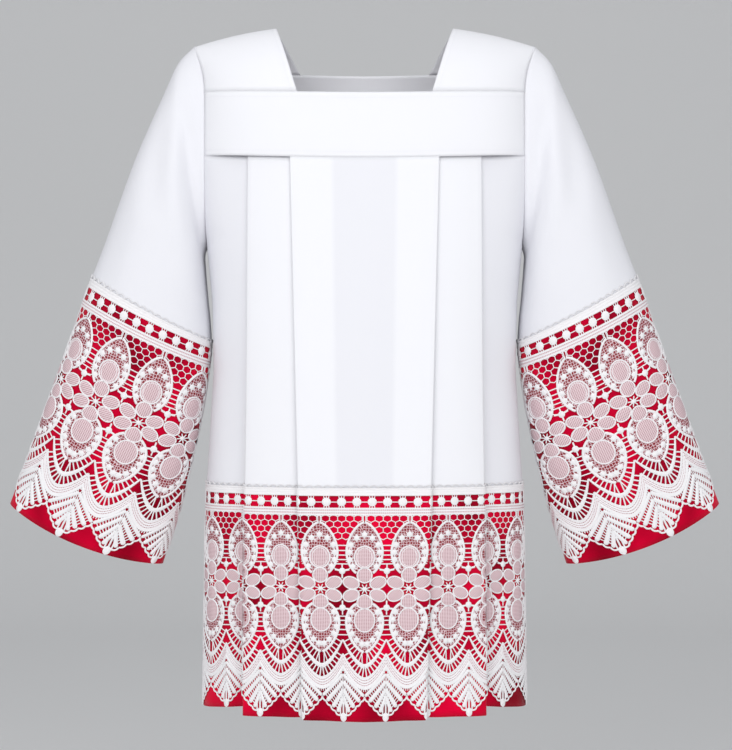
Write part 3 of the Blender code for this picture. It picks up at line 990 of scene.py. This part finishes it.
# Soft creases of the skirt, the same way, on one half
SKIRT_CREASES = (
    (FRONT, 2.2, 20, (56, -210), (52, -420), (44, -660)),
    (FRONT, 2.8, 16, (58, -700), (56, -840), (54, -990)),
    (FRONT, 3, 17, (130, -660), (129, -820), (128, -990)),
    (FRONT, 2, 18, (198, -300), (196, -480), (197, -640)),
    (FRONT, 3, 13, (205, -720), (208, -860), (210, -990)),
    (BACK, 2.4, 21, (48, -170), (50, -400), (45, -630)),
    (BACK, 3, 17, (42, -690), (43, -830), (46, -990)),
    (BACK, 2.6, 18, (127, -560), (130, -780), (129, -990)),
    (BACK, 2.2, 17, (199, -260), (196, -440), (198, -650)),
    (BACK, 3.2, 14, (206, -700), (209, -850), (211, -990)),
)


def crease(points, table):
    """Push a grid in along y by the table's creases, fading at the ends above the hem."""
    result = points.copy()
    x, y, z = np.moveaxis(points, -1, 0)
    for side, depth, width, *line in table:
        knots = np.array(line)[::-1] / 1000.0
        centre = np.interp(z, knots[:, 1], knots[:, 0])
        low, high = knots[0, 1], knots[-1, 1]
        share = clamp((z - low) / (high - low))
        fade = np.sin(math.pi / 2 * clamp((1.0 - share) / CREASE_FADE))
        if low >= HEM_Z:
            fade = fade * np.sin(math.pi / 2 * clamp(share / CREASE_FADE))
        facing = smooth(side * y, 0.0, CREASE_FACE)
        across = (np.abs(x) - centre) / (width / 1000.0)
        result[..., 1] -= side * depth / 1000.0 * np.exp(-(across ** 2)) * fade * facing
    return result


def hang_yoke(points):
    """Lower the front yoke at its middle and lift its ends, fading out above and below."""
    result = points.copy()
    x, y, z = np.moveaxis(points, -1, 0)
    near = smooth(-z, *HANG_ABOVE) * (1.0 - smooth(-z, *HANG_BELOW)) * smooth(-y, 0.0, 0.02)
    result[..., 2] += (YOKE_LIFT * (x / ARMHOLE_X) ** 2 - YOKE_SAG) * near
    return result


# One stitch: length, gap to the next, width, height, and how far it stands off the cloth
STITCH_LENGTH = 0.0026
STITCH_GAP = 0.0014
STITCH_WIDTH = 0.0007
STITCH_HEIGHT = 0.0006
STITCH_STAND_OFF = 0.0004


def row_stitches(name, grid, row, material, outward):
    """A row of stitches along one row of a grid of cloth."""
    path = grid[row]
    normals = np.cross(np.gradient(grid, axis=0), np.gradient(grid, axis=1))[row]
    normals = normals * np.sign(np.sum(normals * outward(path), axis=1))[:, None]
    length = path_lengths(path)
    starts = np.arange(0.0, length[-1] - STITCH_LENGTH, STITCH_LENGTH + STITCH_GAP)

    def at(values, where):
        return np.stack([np.interp(where, length, values[:, k]) for k in range(3)], axis=1)

    first, middle, last = (at(path, starts + STITCH_LENGTH * t) for t in (0.0, 0.5, 1.0))
    normal = unit(at(normals, starts + STITCH_LENGTH / 2))
    across = unit(np.cross(last - first, normal)) * STITCH_WIDTH / 2
    rise = normal * STITCH_HEIGHT
    left, right = middle + across + rise / 2, middle - across + rise / 2
    vertices = np.stack((first, left, last, right, middle + rise), axis=1)
    vertices = (vertices + normal[:, None] * STITCH_STAND_OFF).reshape(-1, 3)
    pattern = np.array(((0, 1, 4, 3), (1, 2, 3, 4)))
    quads = (pattern[None] + 5 * np.arange(len(starts))[:, None, None]).reshape(-1, 4)
    obj = make_mesh(name, vertices, quads, np.zeros((len(vertices), 2)))
    obj.data.materials.append(material)
    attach(obj, "root")


def skirt_layer_shade(grid, side):
    """How many thicknesses the cloth lies in, from 0 for one to 1 for three: the mask of its
    painted shade.
    """
    spread = pleat_opening(grid[:, :1, 2], side)
    inner, outer = (mix(*PLEAT_FOLDS[row][:2], spread) for row in (1, 2))
    x = np.abs(grid[:, :, 0])
    start = smooth(x, inner - 0.004, inner + 0.004)
    return start * (1.0 - smooth(x, outer - 0.006, outer + 0.001))


# ---- pieces


def finish_piece(obj, materials, node, grid):
    for material in materials:
        obj.data.materials.append(material)
    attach(obj, "root")
    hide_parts(node)
    length = float(fall_lengths(grid)[-1].max())


def yoke_grid(side):
    rows = []
    for level in np.linspace(NECK_Z[side], YOKE_HEM_Z[side], 24):
        x = (armhole_x(level) + SEAM_TUCK) * np.linspace(-1.0, 1.0, 97)
        rows.append(body_points(x, np.full_like(x, level), side))
    return hang_yoke(np.array(rows))


def roll_z(x, seam_z, share):
    """Height at a share of the way round the shoulder, from its top to the yoke's seam."""
    angle = np.arccos(1.0 - (shoulder_z(x) - seam_z) / SHOULDER_ROLL)
    return shoulder_z(x) - SHOULDER_ROLL * (1.0 - np.cos(share * angle))


# Rows of a shoulder piece on each side of its top
STRAP_ROWS = 22


def strap_grid(hand):
    """Shoulder piece, rows from the front seam over the shoulder to the back seam."""
    rows = []
    for side, turns in ((FRONT, shares(STRAP_ROWS)[::-1]), (BACK, shares(STRAP_ROWS)[1:])):
        seam_z = NECK_Z[side]
        for share in turns:
            seam_share = roll_z(NECK_POINT_X, seam_z, share) / seam_z
            neck_x = mix(NECK_POINT_X, NECK_X[side], seam_share)
            edge = SHOULDER_END_X
            for _ in range(10):
                edge = float(armhole_x(roll_z(edge, seam_z, share)))
            t = shares(36)
            x = mix(neck_x, edge + SEAM_TUCK, t)
            row = body_points(x, roll_z(x, seam_z, share), side)
            rise = SHOULDER_CROWN * np.sin(math.pi * t) - NECK_DROP * (1.0 - t) ** 3
            row[:, 2] += rise * (1.0 - share) ** 2
            rows.append(row)
    return hang_yoke(np.array(rows)) * (hand, 1.0, 1.0)


def add_cloth(name, grid, cloth, outward, layer_shade=0.0):
    """A thin cloth piece on a grid, in place of the CAD wall of the same name."""
    material, slot_name, thickness = cloth
    obj = grid_mesh(name + "_cloth", grid, flat_uv(grid), outward)
    # Mask of the white cloth's painted shade, kept on its points
    layer = obj.data.attributes.new("layer_shade", "FLOAT", "POINT")
    values = np.broadcast_to(np.ravel(layer_shade), (len(obj.data.vertices),))
    layer.data.foreach_set("value", values.astype(np.float32))
    solidify = obj.modifiers.new("Thickness", "SOLIDIFY")
    solidify.thickness = thickness
    solidify.offset = -1.0
    solidify.use_even_offset = False
    finish_piece(obj, [material], name, grid)


def build_yoke(doubled):
    cloth = doubled[0]
    for side, word in ((FRONT, "front"), (BACK, "back")):
        name = "yoke_" + word
        grid = yoke_grid(side)
        # Doubled cloth takes the whitest painted shade
        add_cloth(name, grid, doubled, away_from_axis, 1.0)
        row_stitches(name + "_neck_stitches", grid, 2, cloth, away_from_axis)
        row_stitches(name + "_hem_stitches", grid, len(grid) - 3, cloth, away_from_axis)
    for hand, word in ((1.0, "left"), (-1.0, "right")):
        name = "shoulder_" + word
        grid = strap_grid(hand)
        centre = grid.mean(axis=(0, 1)) * (1.0, 0.0, 1.6)

        def outward(points, middle=centre):
            return points - middle

        # Doubled cloth takes the whitest painted shade
        add_cloth(name, grid, doubled, outward, 1.0)
        columns = grid.transpose(1, 0, 2)
        row_stitches(name + "_neck_stitches", columns, 2, cloth, outward)
        row_stitches(name + "_armhole_stitches", columns, len(columns) - 2, cloth, outward)


def build_skirt(white, red):
    for side, word in ((FRONT, "front"), (BACK, "back")):
        upper = np.linspace(YOKE_HEM_Z[side], UNDERARM_Z, 18)
        lower = np.linspace(UNDERARM_Z, SATIN_TOP_Z, 28)[1:]
        grid = whole_skirt(np.concatenate((upper, lower)), side)
        # Painted shade of the skirt: whiter where the pleats lie three deep
        layer_shade = skirt_layer_shade(grid, side)
        add_cloth("skirt_" + word, grid, white, away_from_axis, layer_shade)
        grid = whole_skirt(np.linspace(SATIN_TOP_Z, HEM_Z, 34), side)
        add_cloth("hem_satin_" + word, grid, red, away_from_axis)


def lace_repeats(quarter):
    """Repeats of lace from the centre to each column of a quarter of the skirt."""
    row = len(quarter) * 2 // 3
    length = run_lengths(quarter)[row]
    turns = np.nonzero(np.diff(np.sign(np.diff(np.abs(quarter[-1, :, 0])))))[0]
    result = (QUARTER_REPEATS - sum(PLEAT_EASE)) * length / length[-1]
    for ease, first, last in zip(PLEAT_EASE, turns[0::2], turns[1::2]):
        result += ease * smooth(length, length[first], length[last])
    return result


def build_skirt_lace(lace):
    """One tube round both halves of the skirt, numbered from the right side seam."""
    z = np.linspace(LACE_TOP_Z, HEM_Z, 42)
    front, back = whole_skirt(z, FRONT), whole_skirt(z, BACK)
    loop = np.concatenate((front, back[:, ::-1][:, 1:]), axis=1)
    side_at = front.shape[1] - 1
    marks = (0, front.shape[1] // 2, side_at, side_at + back.shape[1] // 2, loop.shape[1] - 1)
    u = np.empty(loop.shape[1])
    for k, (first, last) in enumerate(zip(marks, marks[1:])):
        quarter = loop[:, first:last + 1]
        if k % 2:
            u[first:last + 1] = QUARTER_REPEATS * k + lace_repeats(quarter)
        else:
            u[first:last + 1] = QUARTER_REPEATS * (k + 1) - lace_repeats(quarter[:, ::-1])[::-1]
    surface = Surface(loop, u, np.linspace(0.0, LACE_DROP, len(z)))
    half = 2 * QUARTER_REPEATS
    for word, first, last, grid in (("front", 1, half, front), ("back", half, 2 * half + 1, back)):
        names = ("hem_lace_" + word, "hem_satin_" + word)
        centres = np.arange(first, last, dtype=float)
        add_lace(*names, grid, surface, centres, 2 * half, "gathered", lace)


def build_sleeves(white, red, lace):
    angles = np.append(even_angles(SLEEVE_POINTS), 2 * math.pi)
    tuck = np.linspace(SLEEVE_TUCK_ROW, 1.0, 8)[:-1]
    cloth_rows = np.concatenate((tuck, np.linspace(1.0, SLEEVE_SATIN_ROW, 40)))
    satin_rows = np.linspace(SLEEVE_SATIN_ROW, SLEEVE_LAST_ROW, 36)
    lace_rows = np.linspace(SLEEVE_LACE_ROW, SLEEVE_LAST_ROW, 44)
    for hand, word in ((1.0, "left"), (-1.0, "right")):
        turn = (hand, 1.0, 1.0)

        def outward(points, middle=np.array((hand * 0.33, 0.0, -0.4))):
            return (points - middle) * (0.2, 1.0, 0.0)

        names = ("sleeve_lace_" + word, "sleeve_satin_" + word)
        grid = sleeve_grid(cloth_rows, angles) * turn
        add_cloth("sleeve_" + word, grid, white, outward)
        grid = sleeve_grid(satin_rows, angles) * turn
        add_cloth(names[1], grid, red, outward)
        grid = sleeve_grid(lace_rows, angles) * turn
        if hand > 0:
            grid = grid[:, ::-1]
        fall = fall_lengths(grid).mean(axis=1)
        surface = Surface(grid, np.linspace(0.0, SLEEVE_REPEATS, grid.shape[1]), fall)
        centres = np.arange(SLEEVE_REPEATS) - hand * SLEEVE_PHASE
        lean = -hand * SLEEVE_LEAN
        add_lace(*names, grid, surface, centres, SLEEVE_REPEATS, "hung", lace, lean)


# ---- stage

FLOOR_Z = -1.35
# The backdrop curves up from the floor behind the garment
FLOOR_NEAR_Y = -4.0
CURVE_Y = 3.2
CURVE_RADIUS = 1.5
BACKDROP_TOP_Z = 5.0
STAGE_HALF_WIDTH = 7.0
# Area lights: name, place, what it points at, size, power
LIGHTS = (
    ("key", (-1.3, -3.2, 0.7), (0.0, 0.0, -0.5), 2.2, 44.0),
    ("fill", (1.3, -3.2, 0.3), (0.0, 0.0, -0.5), 2.2, 33.0),
    ("top", (0.0, -1.2, 2.2), (0.0, 0.0, -0.4), 2.0, 12.0),
)
CAMERA_PLACE = (0.002, -2.6, -0.506)
CAMERA_LENS = 85.44
AIR_COLOR = (0.95, 0.97, 1.0)
AIR_STRENGTH = 0.54
PAPER_GREY = (0.78, 0.78, 0.78)


def build_stage():
    profile = [(FLOOR_NEAR_Y, FLOOR_Z)]
    for angle in np.linspace(0.0, math.pi / 2, 13):
        y = CURVE_Y + CURVE_RADIUS * math.sin(angle)
        profile.append((y, FLOOR_Z + CURVE_RADIUS * (1.0 - math.cos(angle))))
    profile.append((CURVE_Y + CURVE_RADIUS, BACKDROP_TOP_Z))
    sides = (-STAGE_HALF_WIDTH, STAGE_HALF_WIDTH)
    points = np.array([[(x, y, z) for x in sides] for y, z in profile])
    stage = grid_mesh("studio_floor", points, np.zeros(points.shape[:2] + (2,)))
    stage.data.materials.append(principled("studio_paper", PAPER_GREY, 0.9)[0])


def build_lights():
    world = bpy.data.worlds.new("studio_air")
    world.use_nodes = True
    air = {"Color": AIR_COLOR, "Strength": AIR_STRENGTH}
    set_inputs(world.node_tree, world.node_tree.nodes["Background"], air)
    bpy.context.scene.world = world
    for name, location, target, size, power in LIGHTS:
        data = bpy.data.lights.new(name, "AREA")
        data.size = size
        data.energy = power
        light = add_object(name, data, location)
        aim = Vector(target) - Vector(location)
        light.rotation_euler = aim.to_track_quat("-Z", "Y").to_euler()


def build_camera():
    data = bpy.data.cameras.new("camera")
    data.lens = CAMERA_LENS
    data.sensor_width = 36.0
    camera = add_object("camera", data, CAMERA_PLACE)
    camera.rotation_euler = (math.pi / 2, 0.0, 0.0)
    bpy.context.scene.camera = camera
    bpy.context.scene.view_settings.view_transform = "Standard"


def main():
    build_camera()
    build_stage()
    build_lights()
    cloth = cloth_material()
    satin = satin_material()
    materials = [
        thread_material("lace_thread", 1.0),
        net_material("lace_net", 0.0),
        net_material("lace_net_diagonal", math.pi / 4),
        open_net_material(),
        # The picot thread is painted greyer: painted shade under its arcs
        thread_material("lace_picot_thread", 0.9),
    ]
    lace = (materials, lace_repeat())
    white = (cloth, "white_cloth", SINGLE_CLOTH)
    red = (satin, "red_satin", SATIN_CLOTH)
    build_yoke((cloth, "white_cloth", YOKE_CLOTH))
    build_skirt(white, red)
    build_skirt_lace(lace)
    build_sleeves(white, red, lace)


main()
